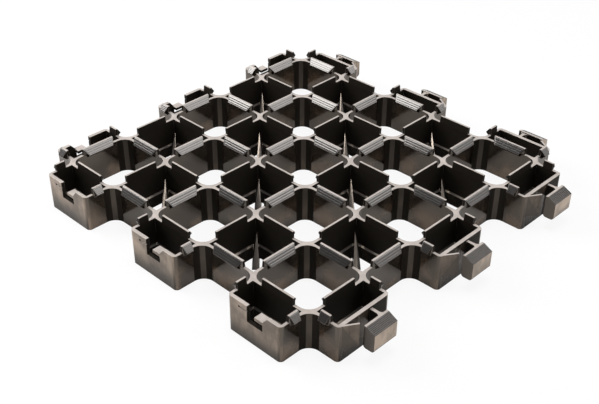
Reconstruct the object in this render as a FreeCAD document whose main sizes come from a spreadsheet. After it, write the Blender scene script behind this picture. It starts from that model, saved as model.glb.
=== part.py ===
# Grass paver grid, moulded in one piece of black plastic.
# Frame: +Z up, the ground at Z = 0, X and Y along the edges, origin under the middle of the outline.
# Sockets lie on the -X and -Y edges, hooks on the +X and +Y edges.
import FreeCAD
import Part
import Sketcher
import math
import os

doc = FreeCAD.newDocument("GrassPaver")

# Driving sizes, in millimetres
sizes = doc.addObject("Spreadsheet::Sheet", "Sizes")
driving = {
    "pitch": 65,
    "deck": 37,
    "crest": 44,
    "roomy_out": 1.5,
    "tight_in": 4.3,
    "corner_round": 11.6,
    "outer_round": 4,
    "edge_gap": 1.5,
    "skin": 3.6,
    "ridge_run": 36.5,
    "ridge_land": 2,
    "ridge_back": 0.9,
    "lip_level": 37.6,
    "lip_run": 29,
    "lip_reach": 3.5,
    "bracket_drop": 4,
    "bracket_toe": 0.5,
    "stub_run": 10.5,
    "stub_lip_run": 7.5,
    "stub_clear": 11,
    "foot_rise": 8.4,
    "foot_slope": 1.4,
    "foot_width": 1.8,
    "foot_flare": 5,
    "half_flare": 6,
    "gusset_rise": 21,
    "gusset_run": 31,
    "gusset_base": 7,
    "gusset_top": 2,
    "slot_left": 7.8,
    "slot_right": 10.4,
    "slot_floor": 20.8,
    "slot_lead": 5.5,
    "catch_level": 30.5,
    "catch_thick": 3,
    "catch_deep": 8.5,
    "catch_start": 1,
    "dimple_wide": 2.4,
    "dimple_deep": 1.6,
    "dimple_level": 31.6,
    "dimple_away": 9,
    "groove_deep": 0.8,
    "groove_high": 1.2,
    "head_left": 13.5,
    "head_right": 14.2,
    "head_near": 9.3,
    "head_far": 20.8,
    "head_bottom": 13.5,
    "head_eave": 31.5,
    "head_top": 36,
    "head_land": 2.3,
    "head_round": 3,
    "neck_waist": 3,
    "neck_round": 4,
    "neck_place": 7.5,
    "neck_bottom": 22.5,
    "neck_top": 35,
    "guide_long": 16.5,
    "guide_thick": 1.8,
    "guide_bottom": 14,
    "guide_turn": 33,
}
for row, (name, value) in enumerate(driving.items(), 1):
    sizes.set("A%d" % row, name)
    sizes.set("B%d" % row, str(value))
    sizes.setAlias("B%d" % row, name)
doc.recompute()

# Overlap of fused pieces and overrun of cutting tools
bite = 1
# Pitches from the middle of the grid to each joint line
side = 3


def bound(text):
    # Writes each driving name in a formula as a reference to the sheet.
    words = []
    for word in text.split():
        words.append("Sizes." + word if word in driving else word)
    return " ".join(words)


def tie(item, formulas):
    for target, text in formulas.items():
        item.setExpression(target, bound(text))
    return item


def box(label, spans):
    # A block between two limits on each axis, all of them formulas.
    item = doc.addObject("Part::Box", label)
    formulas = {}
    for axis, side in zip("xyz", ("Length", "Width", "Height")):
        low, high = spans[axis]
        formulas["Placement.Base." + axis] = low
        formulas[side] = "( %s ) - ( %s )" % (high, low)
    return tie(item, formulas)


def taper(label, low, high, bottom, top):
    # A block whose bottom and top rectangles differ, standing upright.
    item = doc.addObject("Part::Wedge", label)
    item.Placement = FreeCAD.Placement(FreeCAD.Vector(), FreeCAD.Rotation(FreeCAD.Vector(1, 0, 0), 90))
    x0, x1, y0, y1 = bottom
    u0, u1, v0, v1 = top
    formulas = {
        "Ymin": low, "Ymax": high,
        "Xmin": x0, "Xmax": x1, "Zmin": "- ( %s )" % y1, "Zmax": "- ( %s )" % y0,
        "X2min": u0, "X2max": u1, "Z2min": "- ( %s )" % v1, "Z2max": "- ( %s )" % v0,
    }
    return tie(item, formulas)


def section(label, corners):
    # A closed sketch across the Y and Z axes, with a formula for each corner's place.
    sketch = doc.addObject("Sketcher::SketchObject", label)
    sketch.Placement = FreeCAD.Placement(FreeCAD.Vector(), FreeCAD.Rotation(FreeCAD.Vector(1, 1, 1), 120))
    count = len(corners)
    turns = [2 * math.pi * n / count for n in range(count)]
    ring = [FreeCAD.Vector(math.cos(turn), math.sin(turn), 0) for turn in turns]
    for n in range(count):
        sketch.addGeometry(Part.LineSegment(ring[n], ring[(n + 1) % count]))
    for n in range(count):
        sketch.addConstraint(Sketcher.Constraint("Coincident", n, 2, (n + 1) % count, 1))
    for n, place in enumerate(corners):
        for kind, start, text in zip(("DistanceX", "DistanceY"), ring[n], place):
            spot = sketch.addConstraint(Sketcher.Constraint(kind, -1, 1, n, 1, start))
            tie(sketch, {"Constraints[%d]" % spot: text})
    return sketch


def drawn(label, sketch, span):
    # A sketch across Y and Z drawn out between two limits on the X axis.
    low, high = span
    tie(sketch, {"Placement.Base.x": low})
    item = doc.addObject("Part::Extrusion", label)
    item.Base = sketch
    item.DirMode = "Normal"
    item.Solid = True
    return tie(item, {"LengthFwd": "( %s ) - ( %s )" % (high, low)})


def joined(label, items):
    item = doc.addObject("Part::MultiFuse", label)
    item.Shapes = items
    item.Refine = True
    return item


def cut(label, base, tool):
    item = doc.addObject("Part::Cut", label)
    item.Base = base
    item.Tool = tool
    return item


def rounded(label, base, radius, wanted):
    # Rounds the edges of a shape that a test picks out.
    doc.recompute()
    size = sizes.get(radius)
    item = doc.addObject("Part::Fillet", label)
    item.Base = base
    item.Edges = [(n, size, size) for n, edge in enumerate(base.Shape.Edges, 1) if wanted(edge)]
    return item


def standing(edge):
    return abs(edge.BoundBox.ZLength - edge.Length) < 1e-6


def group(label, items):
    item = doc.addObject("Part::Compound", label)
    item.Links = items
    return item


def copies(source, places):
    # Places like copies of one shape: columns and rows in pitches, then quarter turns.
    made = []
    for column, row, quarter in places:
        item = doc.addObject("App::Link", source.Name + "_at")
        item.LinkedObject = source
        item.LinkTransform = True
        turn = FreeCAD.Rotation(FreeCAD.Vector(0, 0, 1), 90 * quarter)
        item.Placement = FreeCAD.Placement(FreeCAD.Vector(), turn)
        tie(item, {"Placement.Base.x": "pitch * %s" % column, "Placement.Base.y": "pitch * %s" % row})
        made.append(item)
    return made


def on_edge(quarter, along):
    # A place on one edge: quarter 0 is -Y, then +X, +Y and -X.
    return [(along, -side, 0), (side, along, 1), (-along, side, 2), (-side, -along, 3)][quarter]


# Cell positions: roomy cells where column and row add up even, tight cells between them
span = range(-side, side + 1)
core_span = range(1 - side, side)
half_span = range(1 - side, side, 2)
bay_span = range(2 - side, side - 1, 2)
roomy_cells = [(i, j, 0) for i in span for j in span if (i + j) % 2 == 0]
inner_roomy = [(i, j) for i in core_span for j in core_span if (i + j) % 2 == 0]
tight_cells = [(i, j, 0) for i in core_span for j in core_span if (i + j) % 2]
edge_halves = [on_edge(quarter, along) for quarter in range(4) for along in half_span]
edge_bays = [on_edge(quarter, along) for quarter in range(4) for along in bay_span]
socket_halves = [on_edge(quarter, along) for quarter in (0, 3) for along in half_span]
hook_halves = [on_edge(quarter, along) for quarter in (1, 2) for along in half_span]

# Slab up to the deck, the level of the crossings, with the roomy cells cut and the outer corners rounded
rim = "( %d * pitch - edge_gap )" % side
through = ("- %d" % bite, "crest + %d" % bite)
slab = box("slab", {"x": ("- " + rim, rim), "y": ("- " + rim, rim), "z": ("0", "deck")})
half = "( pitch / 2 + roomy_out )"
roomy_block = box("roomy_block", {"x": ("- " + half, half), "y": ("- " + half, half), "z": through})
roomy = rounded("roomy", roomy_block, "corner_round", standing)
lattice = cut("lattice", slab, group("roomy_all", copies(roomy, roomy_cells)))


def outermost(edge):
    middle = edge.BoundBox.Center
    limit = side * sizes.get("pitch") - sizes.get("edge_gap")
    return standing(edge) and max(abs(middle.x), abs(middle.y)) > limit - 1e-6


eased = rounded("eased", lattice, "outer_round", outermost)

# Tight cell: a plain square, narrower at the foot, which flares towards the ground
tight = "( pitch / 2 - tight_in )"
waist = "( pitch / 2 - tight_in - foot_width )"
foot_top = "foot_rise + foot_slope"
full = ("- " + tight, tight)
less = ("- " + waist, waist)
mouth = box("tight_mouth", {"x": full, "y": full, "z": (foot_top, through[1])})
slope = taper("tight_slope", "foot_rise", foot_top, less + less, full + full)
sole = "( pitch / 2 - tight_in - foot_width - foot_flare )"
least = ("- " + sole, sole)
throat = taper("tight_throat", through[0], "foot_rise", least + least, less + less)
narrow = joined("tight", [mouth, slope, throat])

# Half cells along the edges, closed by the outer wall, with the same foot on the other three sides
wall_in = "edge_gap + skin"
half_mouth = box("half_mouth", {"x": full, "y": (wall_in, tight), "z": (foot_top, through[1])})
half_slope = taper("half_slope", "foot_rise", foot_top, less + (wall_in, waist), full + (wall_in, tight))
half_sole = "( pitch / 2 - tight_in - foot_width - half_flare )"
half_throat = taper("half_throat", through[0], "foot_rise",
                    least + (wall_in, half_sole), less + (wall_in, waist))
pocket = joined("half_cell", [half_mouth, half_slope, half_throat])

# Slot in a socket's wall, and beside it a dimple joined to it by a shallow groove
slot_deep = ("- %d" % bite, "%s + %d" % (wall_in, bite))
slot_wide = ("- slot_left", "slot_right")
slot_open = ("- slot_left", "slot_right + slot_lead")
slot_gap = box("slot_gap", {"x": slot_wide, "y": slot_deep, "z": ("slot_floor", "catch_level")})
slot_mouth = taper("slot_mouth", "catch_level", "deck", slot_wide + slot_deep, slot_open + slot_deep)
slot = joined("slot", [slot_gap, slot_mouth])
dimple = doc.addObject("Part::Cylinder", "dimple")
dimple.Placement = FreeCAD.Placement(FreeCAD.Vector(), FreeCAD.Rotation(FreeCAD.Vector(1, 0, 0), -90))
tie(dimple, {
    "Radius": "dimple_wide / 2",
    "Height": "edge_gap + dimple_deep",
    "Placement.Base.x": "- slot_left - dimple_away",
    "Placement.Base.z": "dimple_level",
})
groove = box("groove", {"x": ("- slot_left - dimple_away", "- slot_left + %d" % bite),
                        "y": ("- %d" % bite, "edge_gap + groove_deep"),
                        "z": ("dimple_level - groove_high / 2", "dimple_level + groove_high / 2")})
mark = joined("mark", [dimple, groove])
openings = group("openings", copies(narrow, tight_cells) + copies(pocket, edge_halves)
                 + copies(slot, socket_halves) + copies(mark, socket_halves))
grid = cut("grid", eased, openings)

# Ridge and sloping wing on one side of a roomy cell
outside = "- pitch / 2 - tight_in"
inside = "- pitch / 2 - roomy_out"
lip = "- pitch / 2 + lip_reach"
back = outside + " + ridge_back"
land = (back, back + " + ridge_land")
run = ("- ridge_run / 2", "ridge_run / 2")
lip_span = ("- lip_run / 2", "lip_run / 2")
ridge = taper("ridge", "deck", "crest", run + (outside, inside), run + land)
wing = taper("wing", "lip_level", "crest", lip_span + (inside + " - %d" % bite, lip), run + land)
bracket = taper("bracket", "lip_level - bracket_drop", "lip_level",
                lip_span + (inside + " - %d" % bite, inside + " + bracket_toe"),
                lip_span + (inside + " - %d" % bite, lip))
flap = joined("flap", [ridge, wing, bracket])
flaps = copies(flap, [(i, j, quarter) for i, j in inner_roomy for quarter in range(4)])
flaps += copies(flap, [(i, j, quarter + 2) for i, j, quarter in edge_bays])

# Short flaps on both outer sides of each half cell
stub_far = "stub_clear + stub_run"
stub_span = ("stub_clear", stub_far)
stub_mid = "( stub_clear + stub_run / 2 )"
stub_lip = (stub_mid + " - stub_lip_run / 2", stub_mid + " + stub_lip_run / 2")
stubs = []
for name, hand in (("right", 1), ("left", -1)):
    def across(near, far):
        # Two distances from the middle of the half cell, on the side in hand.
        return (near, far) if hand > 0 else ("- ( %s )" % far, "- ( %s )" % near)

    face = "pitch / 2 - tight_in + ridge_back"
    flank = "pitch / 2 - roomy_out"
    reach = "pitch / 2 + lip_reach"
    stub_land = across(face, face + " + ridge_land")
    stub_ridge = taper("stub_ridge_" + name, "deck", "crest",
                       across("pitch / 2 - tight_in", flank) + stub_span, stub_land + stub_span)
    stub_wing = taper("stub_wing_" + name, "lip_level", "crest",
                      across(flank + " - %d" % bite, reach) + stub_lip, stub_land + stub_span)
    stub_bracket = taper("stub_bracket_" + name, "lip_level - bracket_drop", "lip_level",
                         across(flank + " - %d" % bite, flank + " + bracket_toe") + stub_lip,
                         across(flank + " - %d" % bite, reach) + stub_lip)
    stubs += copies(joined("stub_" + name, [stub_ridge, stub_wing, stub_bracket]), edge_halves)

# Gussets in two opposite corners of each tight cell
root = "- ( pitch / 2 - tight_in ) * sqrt(2) - %d" % bite
gusset = taper("gusset", "0", "gusset_rise",
               ("- gusset_base / 2", "gusset_base / 2", root, root + " + gusset_run"),
               ("- gusset_top / 2", "gusset_top / 2", root, root + " + gusset_top"))
gussets = copies(gusset, [(i, j, quarter) for i, j, _ in tight_cells for quarter in (0.5, 2.5)])

# Catch behind one half of each socket slot
catch = box("catch", {"x": ("catch_start", "slot_right + %d" % bite),
                      "y": ("edge_gap", "edge_gap + catch_deep"),
                      "z": ("catch_level - catch_thick", "catch_level")})
catches = copies(catch, socket_halves)

# Hook on a half cell: a roof-shaped head drawn out along the edge, a waisted neck and a slanting guide
head_outline = section("head_outline", [
    ("- head_near", "head_bottom"),
    ("- head_near", "head_top"),
    ("- head_near - head_land", "head_top"),
    ("- head_far", "head_eave"),
    ("- head_far", "head_bottom"),
])
head_bar = drawn("head_bar", head_outline, ("- head_left", "head_right"))


def underside(edge):
    low = sizes.get("head_bottom")
    along = abs(edge.BoundBox.XLength - edge.Length) < 1e-6
    return along and edge.BoundBox.ZMax < low + 1e-6


head = rounded("head", head_bar, "head_round", underside)
neck = box("neck", {"x": ("neck_place - neck_waist / 2", "neck_place + neck_waist / 2"),
                    "y": ("- head_near - %d" % bite, wall_in), "z": ("neck_bottom", "neck_top")})


def neck_root(edge):
    middle = edge.BoundBox.Center
    at_head = abs(middle.y + sizes.get("head_near")) < 1e-6
    return standing(edge) and at_head and abs(middle.x - sizes.get("neck_place")) < sizes.get("neck_waist")


hook = rounded("hook", joined("hook_plain", [head, neck]), "neck_round", neck_root)
guide = doc.addObject("Part::Box", "guide")
guide.Placement = FreeCAD.Placement(FreeCAD.Vector(), FreeCAD.Rotation(FreeCAD.Vector(0, 0, -1), 1))
tie(guide, {
    "Length": "guide_long",
    "Width": "guide_thick",
    "Height": "deck - guide_bottom",
    "Placement.Base.x": "- pitch / 2 + roomy_out + outer_round / 2",
    "Placement.Base.y": "edge_gap + outer_round / 4",
    "Placement.Base.z": "guide_bottom",
    "Placement.Rotation.Angle": "guide_turn",
})
hooks = copies(hook, hook_halves) + copies(guide, hook_halves)

# One moulded piece
paver = doc.addObject("Part::MultiFuse", "paver_grid")
paver.Shapes = [grid] + flaps + stubs + gussets + catches + hooks
paver.Label = "paver_grid"
tie(paver, {
    "Placement.Base.x": "- ( head_far + edge_gap ) / 2",
    "Placement.Base.y": "- ( head_far + edge_gap ) / 2",
})
doc.recompute()

for item in doc.Objects:
    if "Invalid" in item.State or "Error" in item.State:
        raise RuntimeError("object %s did not build: %s" % (item.Name, item.State))
if paver.Shape.isNull() or not paver.Shape.isValid() or len(paver.Shape.Solids) != 1:
    raise RuntimeError("the paver is not one valid solid")

os.makedirs("parts", exist_ok=True)
paver.Shape.exportStep("parts/paver_grid.step")
print("paver_grid volume %.0f mm3, box %s" % (paver.Shape.Volume, paver.Shape.BoundBox))
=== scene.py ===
import math
import bmesh
import bpy
import numpy as np
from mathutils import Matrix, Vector


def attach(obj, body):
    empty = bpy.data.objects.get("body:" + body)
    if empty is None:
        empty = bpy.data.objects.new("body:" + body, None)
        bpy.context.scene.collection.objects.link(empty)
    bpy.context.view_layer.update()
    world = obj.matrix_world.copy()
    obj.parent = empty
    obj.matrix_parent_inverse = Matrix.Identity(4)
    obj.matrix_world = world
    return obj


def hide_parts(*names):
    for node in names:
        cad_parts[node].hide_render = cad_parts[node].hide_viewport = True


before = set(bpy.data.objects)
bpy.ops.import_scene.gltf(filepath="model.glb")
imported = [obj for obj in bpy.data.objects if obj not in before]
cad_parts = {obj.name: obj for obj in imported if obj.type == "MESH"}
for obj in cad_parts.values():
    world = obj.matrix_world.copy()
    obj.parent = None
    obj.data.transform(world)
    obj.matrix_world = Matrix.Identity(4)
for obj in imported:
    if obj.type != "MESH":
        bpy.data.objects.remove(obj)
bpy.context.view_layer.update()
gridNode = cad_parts["paver_grid"]
mm = 0.001

layout = {                      # the grid's own measures, in millimetres
    "pitch": 65.0,
    "offset": 11.15,            # the lattice's middle lies this far from the origin, towards -x and -y
    "rim": 193.5,               # outer walls, from the lattice's middle
    "tightIn": 4.3,             # faces of the square cells, from the lines between cells
    "lipReach": 3.5,            # lips of the wings, from the lines between cells
    "lipHigh": 37.6,
    "ridgeBack": 0.9,           # back of a ridge, from the face of the square cell
    "ridgeLand": 2.0,           # flat top of a ridge
    "crest": 44.0,
    "halfCells": (-2, 0, 2),    # columns and rows that end in half cells
    "bays": (-1, 1),            # columns and rows that end in open bays
}


class Value:                                    # a socket that takes part in sums
    def __init__(self, tree, socket):
        self.tree, self.socket = tree, socket

    def node(self, kind, settings, sockets, out=0):     # any other node: its type, settings, then sockets
        made = self.tree.nodes.new(kind)
        for name, value in settings.items():
            setattr(made, name, value)
        for name, value in sockets.items():
            if isinstance(value, Value):
                self.tree.links.new(value.socket, made.inputs[name])
            else:
                made.inputs[name].default_value = value
        return Value(self.tree, made.outputs[out] if made.outputs else None)

    def output(self, out):                      # another output of the same node
        return Value(self.tree, self.socket.node.outputs[out])

    def math(self, operation, first, second):
        return self.node("ShaderNodeMath", {"operation": operation}, {0: first, 1: second})

    def __add__(self, other):
        return self.math("ADD", self, other)

    def __radd__(self, other):
        return self.math("ADD", other, self)

    def __sub__(self, other):
        return self.math("SUBTRACT", self, other)

    def __rsub__(self, other):
        return self.math("SUBTRACT", other, self)

    def __mul__(self, other):
        return self.math("MULTIPLY", self, other)

    def __rmul__(self, other):
        return self.math("MULTIPLY", other, self)

    def between(self, low, high):               # 0 below low, 1 above high, smooth between
        return self.node("ShaderNodeMapRange", {"interpolation_type": "SMOOTHSTEP"},
                         {0: self, 1: low, 2: high, 3: 0.0, 4: 1.0})

    def atLeast(self, least):                   # 0 becomes least, 1 stays 1
        return least + (1 - least) * self

    def tint(self, under, over):                # this value mixes two colours
        return self.node("ShaderNodeMix", {"data_type": "RGBA"}, {0: self, 6: under, 7: over}, 2)

    def dot(self, other):                       # two directions compared
        return self.node("ShaderNodeVectorMath", {"operation": "DOT_PRODUCT"}, {0: self, 1: other}, "Value")

    def noise(self, scale, detail, roughness):  # this place in a cloudy pattern
        return self.node("ShaderNodeTexNoise", {}, {"Vector": self, "Scale": scale,
                                                    "Detail": detail, "Roughness": roughness})

    def bump(self, strength, distance, normal):         # this height on top of a shading normal
        return self.node("ShaderNodeBump", {}, {"Strength": strength, "Distance": distance,
                                                "Height": self, "Normal": normal})


def newMaterial(name):
    material = bpy.data.materials.new(name)
    material.use_nodes = True
    material.node_tree.nodes.clear()
    return material, Value(material.node_tree, None)


plastic = {                                     # colours are linear, heights in metres
    "paintedReflection": (0.150, 0.102, 0.070, 1),          # painted reflections, warm patches on the walls of the round-cornered cells
    "paintedReflectionFade": (0.008, 0.032),                # they fade out between these heights, painted shade under the wings
    "paintedLight": (0.45, 0.345, 0.262, 1),           # painted light and reflection on the outer walls and hooks
    "paintedLightRise": (0.001, 0.026),                # it sets in between these heights; below them, painted shadow at the ground
    "paintedLightLow": 0.1,                            # what is left of it close to the ground, in that painted shadow
    "paintedLightMix": (0.3, 0.4, 0.4),                # an even share, then what mottle and patches add
    "wing": (0.020, 0.018, 0.0165, 1),
    "wingLeast": 0.6,                           # share of that colour where there is no mottle
    "scuffAndSheen": (0.50, 0.45, 0.42, 1),             # scuffed wall tops and edges, with painted highlight on them
    "scuffAndSheenLeast": 0.75,
    "edgeRound": 0.0006,                        # radius that the moulded edges shade with
    "edgeBend": (0.01, 0.12),                   # 1 less the cosine of the turn where scuffing and painted edge highlight set in
    "edgeRise": (0.018, 0.036),                 # heights between which it sets in
    "edgeShare": 0.4,
    "clouds": (62.0, 3.0, 0.6),                 # scale, detail and roughness of each pattern
    "drifts": (28.0, 2.0, 0.5),
    "streaks": (260.0, 2.0, 0.5),
    "grain": (1900.0, 2.0, 0.6),
    "streakFlow": (1.0, 1.0, 0.25),             # streaks run up the walls
    "mottleMix": (0.7, 0.3),                    # clouds and streaks
    "mottleRange": (0.36, 0.66),
    "paintedReflectionRange": (0.42, 0.66),
    "roughAdds": {"streaks": 0.08, "scuffAndSheen": 0.25, "outer": 0.15, "wing": 0.1},
    "waveStrength": 0.6,
    "grainStrength": 0.5,
}
polishes = {                                    # grain and wave are depths in metres
    "glossBlack": {"base": (0.008, 0.0065, 0.005, 1), "roughness": 0.10, "ior": 1.92,
                   "tint": (1.0, 0.84, 0.70, 1), "grain": 0.00003, "wave": 0.00012},
    "mattBlack": {"base": (0.016, 0.013, 0.010, 1), "roughness": 0.6, "ior": 1.22,
                  "tint": (1.0, 0.9, 0.8, 1), "grain": 0.00006, "wave": 0.0},
    "wingBlack": {"base": (0.008, 0.0075, 0.007, 1), "roughness": 0.10, "ior": 2.05,
                  "tint": (1.0, 0.95, 0.91, 1), "grain": 0.00003, "wave": 0.00012},
    "wallBlack": {"base": (0.010, 0.008, 0.006, 1), "roughness": 0.22, "ior": 1.5,
                  "tint": (1.0, 0.9, 0.8, 1), "grain": 0.00003, "wave": 0.00012},
}


def makePlastic(name, polish):
    material, start = newMaterial(name)
    place = start.node("ShaderNodeTexCoord", {}, {}, "Object")
    finishAndPaintedLight = start.node("ShaderNodeAttribute", {"attribute_name": "finishAndPaintedLight"}, {}, "Color")
    scuffAndSheen = start.node("ShaderNodeSeparateColor", {}, {0: finishAndPaintedLight}, 0)
    wing, outer, roomy = scuffAndSheen.output(1), scuffAndSheen.output(2), finishAndPaintedLight.output("Alpha")
    level = start.node("ShaderNodeSeparateXYZ", {}, {0: place}, "Z")
    flow = start.node("ShaderNodeMapping", {}, {"Vector": place, "Scale": plastic["streakFlow"]})
    clouds = place.noise(*plastic["clouds"])
    streaks = flow.noise(*plastic["streaks"])
    grain = place.noise(*plastic["grain"])
    cloudShare, streakShare = plastic["mottleMix"]
    mottle = (clouds * cloudShare + streaks * streakShare).between(*plastic["mottleRange"])
    paintedPatches = place.noise(*plastic["drifts"]).between(*plastic["paintedReflectionRange"])

    # painted reflections on the walls of the round-cornered cells, fading upward as painted shade under the
    # wings
    lowPaintedReflections = paintedPatches * (1 - level.between(*plastic["paintedReflectionFade"]))
    colour = (roomy * lowPaintedReflections).tint(polish["base"], plastic["paintedReflection"])
    # painted light and reflection on the outer walls and hooks, darkened close to the ground as painted
    # shadow
    clearOfGroundShade = level.between(*plastic["paintedLightRise"]).atLeast(plastic["paintedLightLow"])
    evenShare, mottleShare, patchShare = plastic["paintedLightMix"]
    paintedLight = outer * clearOfGroundShade * (evenShare + mottleShare * mottle + patchShare * paintedPatches)
    colour = paintedLight.tint(colour, plastic["paintedLight"])
    colour = (wing * mottle.atLeast(plastic["wingLeast"])).tint(colour, plastic["wing"])
    # scuffed tops with painted highlight of the light from above
    colour = (scuffAndSheen * mottle.atLeast(plastic["scuffAndSheenLeast"])).tint(colour, plastic["scuffAndSheen"])
    rounded = start.node("ShaderNodeBevel", {"samples": 6}, {"Radius": plastic["edgeRound"]})
    turned = 1 - rounded.dot(start.node("ShaderNodeNewGeometry", {}, {}, "Normal"))
    # upper edges take the scuff colour: wear and painted edge highlight
    edges = turned.between(*plastic["edgeBend"]) * level.between(*plastic["edgeRise"])
    colour = (edges * plastic["edgeShare"]).tint(colour, plastic["scuffAndSheen"])

    adds = plastic["roughAdds"]
    rough = polish["roughness"] + adds["streaks"] * (streaks - 0.5)
    rough = rough + adds["scuffAndSheen"] * scuffAndSheen + adds["outer"] * outer + adds["wing"] * wing
    rough = rough + 2 * roomy * (1 - roomy)     # only the strips in the round corners have half a share
    wavy = clouds.bump(plastic["waveStrength"], polish["wave"], rounded)
    relief = grain.bump(plastic["grainStrength"], polish["grain"], wavy)
    shader = start.node("ShaderNodeBsdfPrincipled", {},
                        {"Base Color": colour, "Roughness": rough, "Normal": relief,
                         "IOR": polish["ior"], "Specular Tint": polish["tint"]})
    start.node("ShaderNodeOutputMaterial", {}, {"Surface": shader})
    return material


blacks = {name: makePlastic(name, polish) for name, polish in polishes.items()}
print("plastic made in", len(blacks), "finishes")

skin = {                        # millimetres; a slope is the upward part of a face's normal
    "mergeGap": 0.01,
    "sharpAngle": 16.5,         # degrees; edges bent more than this stay crisp
    "dimStart": 4.0,            # along a hook's wall, where its dull part starts
    "lookAhead": 4.0,           # a face looks into the cell that lies this far before it
    "rimInside": 0.8,           # outer faces lie at most this far inside the rim
    "flushGap": 0.9,            # walls behind the hooks lie this close to the rim
    "headStart": 9.0,           # only the hooks' heads lie farther than this outside the rim
    "headFront": 10.0,          # outer faces past this are the heads' own
    "bendReach": 185.0,         # round corners farther out than this have no dull part
    "topHigh": 28.0,
    "wingHigh": 30.0,
    "gussetHigh": 22.0,
    "sillHigh": 12.0,
    "flatSlope": 0.9,
    "sillSlope": 0.6,
    "wingSlope": 0.3,
    "wallSlope": 0.2,
    "footSlope": 0.15,
    "outwardTurn": 0.3,         # each turn is a limit for the level parts of a face's normal
    "litEndTurn": 0.5,
    "bendTurn": 0.05,
    "stripTurn": 0.46,
    "gussetTurn": 0.2,
    "squareTurn": 0.999,
}
shareOf = {                     # how much of its finish and painted light each kind of face has
    "sill": 0.2,
    "lower": 0.6,
    # outer walls, hooks, guides, walls behind the hooks and the hook ends facing +x: shares of painted
    # light
    "outer": 0.9,
    "hook": 1.4,
    "guide": 0.45,
    "behind": 0.3,
    "litHookEnd": 1.2,
    "strip": 0.5,
}


def finishAndPaintedLightOf(centre, normal):
    # Shares of four finishes and painted light for each face, by its height, its slope and the cell that it
    # looks into:
    # scuffs with painted highlight on tops, wings, painted light on the outer walls and hooks, painted
    # reflections in the round-cornered cells.
    # Also the place of each face's black in the list of blacks.
    spot = centre[:, :2] / mm + layout["offset"]
    high = centre[:, 2] / mm
    slope = normal[:, 2]
    turnX, turnY = normal[:, 0], normal[:, 1]
    reach = np.max(spot, axis=1) - layout["rim"]                # past the two rims that carry the hooks
    spread = np.max(np.abs(spot), axis=1)
    upright = np.abs(slope) < skin["wallSlope"]
    sloping = slope <= skin["flatSlope"]

    outside = spread > layout["rim"] - skin["rimInside"]
    farAxis = np.argmax(np.abs(spot), axis=1)[:, None]
    outward = np.take_along_axis(normal[:, :2] * np.sign(spot), farAxis, axis=1)[:, 0] > skin["outwardTurn"]
    square = np.max(np.abs(normal[:, :2]), axis=1) > skin["squareTurn"]
    flush = square & (np.abs(reach) < skin["flushGap"])         # walls that the hooks stand before
    local = spot - layout["pitch"] * np.round(spot / layout["pitch"])
    along = np.where(spot[:, 0] > spot[:, 1], local[:, 1], -local[:, 0])
    behind = flush & (along < skin["dimStart"])
    outer = upright & outside & outward & ~flush
    hook = outer & (reach > skin["headFront"])
    guide = outer & ~hook & (reach > -skin["rimInside"])        # the rest of those two rims
    hookEnd = upright & ~outer & (reach > skin["headStart"])
    litHookEnd = hookEnd & (turnX > skin["litEndTurn"])

    faced = np.round((spot + skin["lookAhead"] * normal[:, :2]) / layout["pitch"])
    even = np.mod(faced.sum(axis=1), 2) == 0                    # round-cornered cells
    skew = np.abs(turnX * turnY)
    bend = (turnX > skin["bendTurn"]) & (turnY < -skin["bendTurn"]) & (spread < skin["bendReach"])
    strip = bend & (skew > skin["stripTurn"])                   # the shine in the middle of a round corner
    roomy = upright & ~outer & ~flush & even & (~bend | strip)
    top = ~sloping & (high > skin["topHigh"])
    inner = reach < skin["headStart"]                           # leaves out the hooks' roofs
    wing = (slope > skin["wingSlope"]) & sloping & (high > skin["wingHigh"]) & inner
    gusset = upright & ~even & (skew > skin["gussetTurn"]) & (high < skin["gussetHigh"])
    sill = (slope > skin["sillSlope"]) & sloping & (high < skin["sillHigh"])    # sloping top of the foot
    lower = ((slope > skin["footSlope"]) & sloping & (high < skin["gussetHigh"])) | gusset

    # tops get scuffs and painted highlight; the foot's sloping top gets a small share of painted highlight
    scuffsAndSheen = top + shareOf["sill"] * sill
    flaps = wing + shareOf["lower"] * lower
    # painted light, strongest on the hooks' fronts and on the hook ends that face +x
    paintedLight = np.select([hook, guide, outer, behind, litHookEnd],
                      [shareOf[kind] for kind in ("hook", "guide", "outer", "behind", "litHookEnd")], 0)
    # share of painted reflection: full on the walls of round-cornered cells, half in the shine strips
    paintedReflectionAmount = np.where(strip, shareOf["strip"], 1) * roomy
    sheltered = ~top & ~wing & ~outer & ~behind & ~roomy & ~lower & ~hookEnd
    order = list(polishes)
    coat = np.select([sheltered, wing, behind | (outer & ~hook)],
                     [order.index(name) for name in ("mattBlack", "wingBlack", "wallBlack")],
                     order.index("glossBlack"))
    return np.stack([scuffsAndSheen, flaps, paintedLight, paintedReflectionAmount], axis=1).astype(np.float32), coat


def splitHookWalls(shape):
    # Cuts each wall behind a hook by an upright plane across the wall, where its dull part starts.
    rim = (layout["rim"] - layout["offset"]) * mm
    gap = skin["mergeGap"] * mm
    for axis, across, way in ((0, (0, 1, 0), 1), (1, (1, 0, 0), -1)):
        for cell in layout["halfCells"]:
            middle = (cell * layout["pitch"] - layout["offset"]) * mm
            start = middle + way * skin["dimStart"] * mm
            walls = []
            for face in shape.faces:
                spot = face.calc_center_median()
                onRim = abs(face.normal[axis]) > skin["squareTurn"] and abs(spot[axis] - rim) < gap
                if onRim and abs(spot[1 - axis] - middle) < layout["pitch"] / 2 * mm:
                    walls.append(face)
            touched = walls + list({part for face in walls for part in (*face.verts, *face.edges)})
            bmesh.ops.bisect_plane(shape, geom=touched, dist=gap, plane_no=across,
                                   plane_co=tuple(start * step for step in across))


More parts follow.
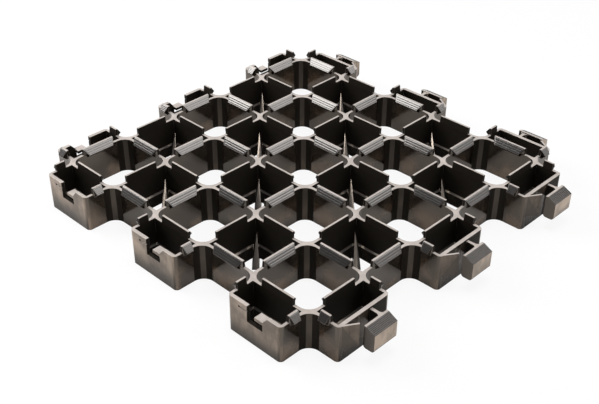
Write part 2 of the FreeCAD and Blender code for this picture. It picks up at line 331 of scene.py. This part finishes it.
def finishAndPaintedLightMesh(mesh, shares, coat, coats):
    # Gives each face its shares of finish and painted light, its black and smooth shading.
    mesh.attributes.new("finishAndPaintedLight", "FLOAT_COLOR", "FACE").data.foreach_set("color", shares.ravel())
    mesh.polygons.foreach_set("use_smooth", np.ones(len(coat), bool))
    mesh.materials.clear()
    for name in coats:
        mesh.materials.append(blacks[name])
    mesh.polygons.foreach_set("material_index", coat.astype(np.int32))


def makeSkin():
    mesh = gridNode.data.copy()
    shape = bmesh.new()
    shape.from_mesh(mesh)
    bmesh.ops.remove_doubles(shape, verts=shape.verts, dist=skin["mergeGap"] * mm)
    splitHookWalls(shape)
    shape.to_mesh(mesh)
    shape.free()
    count = len(mesh.polygons)
    centre = np.zeros(count * 3)
    normal = np.zeros(count * 3)
    mesh.polygons.foreach_get("center", centre)
    mesh.polygons.foreach_get("normal", normal)
    shares, coat = finishAndPaintedLightOf(centre.reshape(-1, 3), normal.reshape(-1, 3))
    finishAndPaintedLightMesh(mesh, shares, coat, polishes)
    mesh.set_sharp_from_angle(angle=math.radians(skin["sharpAngle"]))
    piece = bpy.data.objects.new("paverSkin", mesh)
    bpy.context.scene.collection.objects.link(piece)
    flats = piece.modifiers.new("flats", "WEIGHTED_NORMAL")
    flats.keep_sharp = True
    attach(piece, "root")
    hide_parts("paver_grid")
    print("skin has", count, "faces")


makeSkin()

ribs = {                        # fine ridges parallel to the top of each slope, in millimetres
    "lift": 0.01,               # the valleys lie this far above the slope
    "sink": 0.06,               # the sheet's border lies this far below it
    "steps": 8,                 # faces up each rib; the dull ones are counted from its lower valley
    "columns": (0, 0.01, 0.02),         # shares of the length; close columns keep the shading level
    "wing": {"height": 0.06, "count": 3, "start": 0.10, "end": 0.95, "ends": 0.02, "dull": (0,),
             "lipHalf": 14.5, "crestHalf": 18.25},
    "stub": {"height": 0.05, "count": 4, "start": 0.12, "end": 0.94, "ends": 0.02, "dull": (),
             "lip": (12.5, 20.0), "crest": (11.0, 21.5)},
    "roof": {"height": 0.14, "count": 7, "start": 0.02, "end": 0.98, "ends": 0.0, "dull": (0, 1, 2, 6, 7),
             "along": (-13.5, 14.2), "eave": (-20.8, 31.5), "crown": (-11.6, 36.0)},
}


def quarterTurns(points, quarter):
    # Turns points about Z by quarter turns: x, y become -y, x for each.
    turns = np.array([[[1, 0], [0, 1]], [[0, -1], [1, 0]], [[-1, 0], [0, -1]], [[0, 1], [-1, 0]]])
    flat = np.einsum("nij,npj->npi", turns[quarter % 4], points[..., :2])
    return np.concatenate([flat, points[..., 2:]], axis=2)


def placed(corners, places):
    # One four-cornered slope copied to many places, each a column, a row and a quarter turn.
    places = np.array(places)
    points = quarterTurns(np.repeat(corners[None], len(places), axis=0), places[:, 2])
    points[..., :2] += places[:, None, :2] * layout["pitch"]
    return points


def onEdges(quarters, cells):
    # The places of half cells or bays on some of the four edges, three cells out from the middle.
    spots = []
    for quarter in quarters:
        for cell in cells:
            column, row = [(cell, -3), (3, cell), (-cell, 3), (-3, -cell)][quarter]
            spots.append((column, row, quarter))
    return spots


def ribbed(corners, kind):
    # Point at share u along and v up the slope, raised along the slope's normal
    # by a cosine wave for each rib. The sheet's border is sunk instead,
    # so that it has no open edge in sight.
    columns = kind["ends"] + np.array(ribs["columns"])
    u = np.concatenate([columns, 1 - columns[::-1]])[None, None, :, None]
    across, along = kind["count"] * ribs["steps"] + 1, 2 * len(columns)
    v = np.linspace(0, 1, across)[None, :, None, None]
    border = np.ones((1, across, along, 1))
    border[:, 1:-1, 1:-1] = 0
    rise = kind["start"] + (kind["end"] - kind["start"]) * v
    lowLeft, lowRight, topLeft, topRight = [corners[:, None, None, n] for n in range(4)]
    low = lowLeft + (lowRight - lowLeft) * u
    top = topLeft + (topRight - topLeft) * u
    normal = np.cross(lowRight - lowLeft, topLeft - lowLeft)
    normal /= np.linalg.norm(normal, axis=-1, keepdims=True)
    wave = 0.5 - 0.5 * np.cos(2 * math.pi * kind["count"] * v)
    raised = (1 - border) * (ribs["lift"] + kind["height"] * wave) - border * ribs["sink"]
    points = low + (top - low) * rise + normal * raised
    index = np.arange(len(corners) * across * along).reshape(-1, across, along)
    quads = np.stack([index[:, :-1, :-1], index[:, :-1, 1:], index[:, 1:, 1:], index[:, 1:, :-1]], axis=-1)
    step = np.arange(across - 1) % ribs["steps"]
    dull = np.broadcast_to(np.isin(step, kind["dull"])[None, :, None], quads.shape[:3])
    return points.reshape(-1, 3), quads.reshape(-1, 4), dull.ravel()


def wingSlopes():
    # Four on each round-cornered cell, and one on the inner wall of each bay.
    half = layout["pitch"] / 2
    lowHalf, topHalf = ribs["wing"]["lipHalf"], ribs["wing"]["crestHalf"]
    lip, lipHigh, crest = -half + layout["lipReach"], layout["lipHigh"], layout["crest"]
    land = -half - layout["tightIn"] + layout["ridgeBack"] + layout["ridgeLand"]
    corners = np.array([[lowHalf, lip, lipHigh], [-lowHalf, lip, lipHigh],
                        [topHalf, land, crest], [-topHalf, land, crest]])
    core = range(-2, 3)
    spots = [(i, j, q) for i in core for j in core if (i + j) % 2 == 0 for q in range(4)]
    spots += [(i, j, q + 2) for i, j, q in onEdges(range(4), layout["bays"])]
    return placed(corners, spots)


def stubSlopes():
    # One short wing on each side wall of a half cell, the left one a mirror of the right one.
    half = layout["pitch"] / 2
    (lowNear, lowFar), (topNear, topFar) = ribs["stub"]["lip"], ribs["stub"]["crest"]
    lip, lipHigh, crest = half + layout["lipReach"], layout["lipHigh"], layout["crest"]
    land = half - layout["tightIn"] + layout["ridgeBack"] + layout["ridgeLand"]
    right = np.array([[lip, lowNear, lipHigh], [lip, lowFar, lipHigh],
                      [land, topNear, crest], [land, topFar, crest]])
    left = right[[1, 0, 3, 2]] * [-1, 1, 1]
    spots = onEdges(range(4), layout["halfCells"])
    return np.concatenate([placed(right, spots), placed(left, spots)])


def roofSlopes():
    # The sloping roof of each hook's head, on the right and the back edge.
    corners = np.array([[x, y, z] for y, z in (ribs["roof"]["eave"], ribs["roof"]["crown"])
                        for x in ribs["roof"]["along"]])
    return placed(corners, onEdges((1, 2), layout["halfCells"]))


def makeRibs():
    points, quads, dull = ribbed(wingSlopes(), ribs["wing"])
    for slopes, kind in ((stubSlopes(), "stub"), (roofSlopes(), "roof")):
        morePoints, moreQuads, moreDull = ribbed(slopes, ribs[kind])
        quads = np.concatenate([quads, moreQuads + len(points)])
        points = np.concatenate([points, morePoints])
        dull = np.concatenate([dull, moreDull])
    points[:, :2] -= layout["offset"]
    mesh = bpy.data.meshes.new("wingRibs")
    mesh.from_pydata((points * mm).tolist(), [], quads.tolist())
    wingShares = np.tile(np.array([0, 1, 0, 0], np.float32), len(quads))
    finishAndPaintedLightMesh(mesh, wingShares, dull, ("wingBlack", "mattBlack"))
    piece = bpy.data.objects.new("wingRibs", mesh)
    bpy.context.scene.collection.objects.link(piece)
    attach(piece, "root")
    print("ribs have", len(quads), "faces")


makeRibs()

studio = {                      # metres and watts
    "floorHalf": 30.0,
    "floorLevel": -0.0002,      # just under the grid's feet
    "floorColour": (0.90, 0.90, 0.90, 1),
    "white": (1, 1, 1, 1),
    "shadowShare": 0.11,        # how much of the floor's own shading the camera sees
    "mirrorShare": 0.1,         # how much of the plain white a reflection sees
    "domeStrength": 0.30,
    "frontStrength": 0.12,      # the unlit side of the studio, behind the camera
    "lightSide": (-0.5, 1.0, 0.0),      # away from the unlit side
    "lightRise": (-0.45, 0.0),          # how far an aim leans that way where the light sets in
    "lamps": {                  # place, width and power of each; all aim at the origin
        "topLamp": ((0.12, -0.05, 1.6), 0.6, 10.0),
        "leftLamp": ((-1.04, -0.52, 0.93), 0.9, 15.0),
        "rightLamp": ((0.90, 1.00, 1.20), 1.2, 8.5),
    },
}


def rayKinds(start):            # whether the camera, a reflection or a clear material looks
    camera = start.node("ShaderNodeLightPath", {}, {}, "Is Camera Ray")
    return camera, camera.output("Is Glossy Ray"), camera.output("Is Transmission Ray")


def makeFloor():
    half, level = studio["floorHalf"], studio["floorLevel"]
    mesh = bpy.data.meshes.new("floor")
    corners = [(-half, -half, level), (half, -half, level), (half, half, level), (-half, half, level)]
    mesh.from_pydata(corners, [], [(0, 1, 2, 3)])
    floor = bpy.data.objects.new("floor", mesh)
    bpy.context.scene.collection.objects.link(floor)
    material, start = newMaterial("paleFloor")
    seen, mirrored, through = rayKinds(start)
    plain = seen * (1 - studio["shadowShare"]) + mirrored * studio["mirrorShare"] + through
    shaded = start.node("ShaderNodeBsdfDiffuse", {}, {"Color": studio["floorColour"]})
    white = start.node("ShaderNodeEmission", {}, {"Color": studio["white"], "Strength": 1.0})
    mixed = start.node("ShaderNodeMixShader", {}, {0: plain, 1: shaded, 2: white})
    start.node("ShaderNodeOutputMaterial", {}, {"Surface": mixed})
    mesh.materials.append(material)


def makeDome():
    world = bpy.data.worlds.new("dome")
    world.use_nodes = True
    world.node_tree.nodes.clear()
    start = Value(world.node_tree, None)
    seen, mirrored, through = rayKinds(start)
    aim = start.node("ShaderNodeTexCoord", {}, {}, "Generated")
    lit = aim.dot(studio["lightSide"]).between(*studio["lightRise"])
    plain = (seen + through).atLeast(studio["domeStrength"])
    strength = (1 - mirrored) * plain + mirrored * lit.atLeast(studio["frontStrength"])
    glow = start.node("ShaderNodeBackground", {}, {"Color": studio["white"], "Strength": strength})
    start.node("ShaderNodeOutputWorld", {}, {"Surface": glow})
    bpy.context.scene.world = world


def makeLamps():
    for name, (place, width, power) in studio["lamps"].items():
        data = bpy.data.lights.new(name, "AREA")
        data.shape, data.size, data.energy = "DISK", width, power
        lamp = bpy.data.objects.new(name, data)
        lamp.location = place
        lamp.rotation_mode = "QUATERNION"
        lamp.rotation_quaternion = (-Vector(place)).to_track_quat("-Z", "Y")
        bpy.context.scene.collection.objects.link(lamp)


makeFloor()
makeDome()
makeLamps()
print("studio made with", len(studio["lamps"]), "lamps")

shot = {                        # fitted to the photograph's crossings and corners
    "azimuth": 44.81,
    "elevation": 34.96,
    "distance": 0.9516,
    "target": (0.01173, -0.05711, 0.0),
    "lens": 58.68,
    "sensor": 36.0,
    "shift": (0.0191, 0.0298),
    "clip": (0.01, 50.0),
}


def makeCamera():
    turn, lift = math.radians(shot["azimuth"]), math.radians(shot["elevation"])
    back = Vector((math.sin(turn) * math.cos(lift), -math.cos(turn) * math.cos(lift), math.sin(lift)))
    data = bpy.data.cameras.new("camera")
    data.lens, data.sensor_width = shot["lens"], shot["sensor"]
    data.shift_x, data.shift_y = shot["shift"]
    data.clip_start, data.clip_end = shot["clip"]
    camera = bpy.data.objects.new("camera", data)
    camera.location = Vector(shot["target"]) + back * shot["distance"]
    camera.rotation_mode = "QUATERNION"
    camera.rotation_quaternion = (-back).to_track_quat("-Z", "Y")
    bpy.context.scene.collection.objects.link(camera)
    bpy.context.scene.camera = camera
    bpy.context.scene.view_settings.view_transform = "Standard"
    print("camera placed")


makeCamera()
